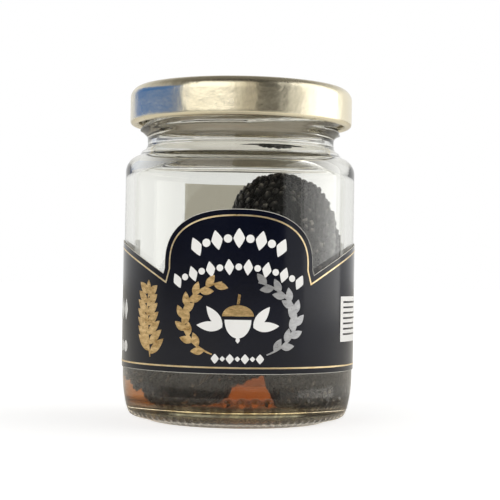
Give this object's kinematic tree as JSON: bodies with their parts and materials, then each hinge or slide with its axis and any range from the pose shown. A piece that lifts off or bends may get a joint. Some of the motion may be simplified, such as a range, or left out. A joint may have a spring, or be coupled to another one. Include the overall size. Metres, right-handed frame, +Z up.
{
  "type": "black truffle in a glass jar",
  "caption": "Whole lobed black truffle standing in brine inside a small round glass jar with a wrap-round paper label and a metal twist-off lid that unscrews.",
  "frame": {"origin": "centre of the flat ring under the jar that it stands on", "axes": "+Z up along the jar's axis, front of the label towards -Y, +X to the right of the front"},
  "size_m": [0.0584, 0.0581, 0.0834],
  "materials": {
    "glass": "polished",
    "lid_metal": "satin",
    "ring_compound": "matte",
    "label_paper": "satin",
    "brine": "gloss",
    "truffle_flesh": "matte"
  },
  "bodies": {
    "jar": {"jar": "glass", "label": "label_paper", "brine": "brine", "truffle": "truffle_flesh"},
    "seal": {"sealing_ring": "ring_compound"},
    "lid": {"lid": "lid_metal"}
  },
  "joints": [
    {"name": "lid_rise", "type": "slide", "parent": "jar", "child": "seal", "axis": [0, 0, 1], "range_m": [0, 0.012]},
    {"name": "lid_turn", "type": "hinge", "parent": "seal", "child": "lid", "pos_m": [0, 0, 0.08], "axis": [0, 0, 1], "range_deg": [0, 360]}
  ],
  "couplings": [
    {"joint": "lid_rise", "follows": "lid_turn", "m_per_rad": 0.0019098}
  ]
}
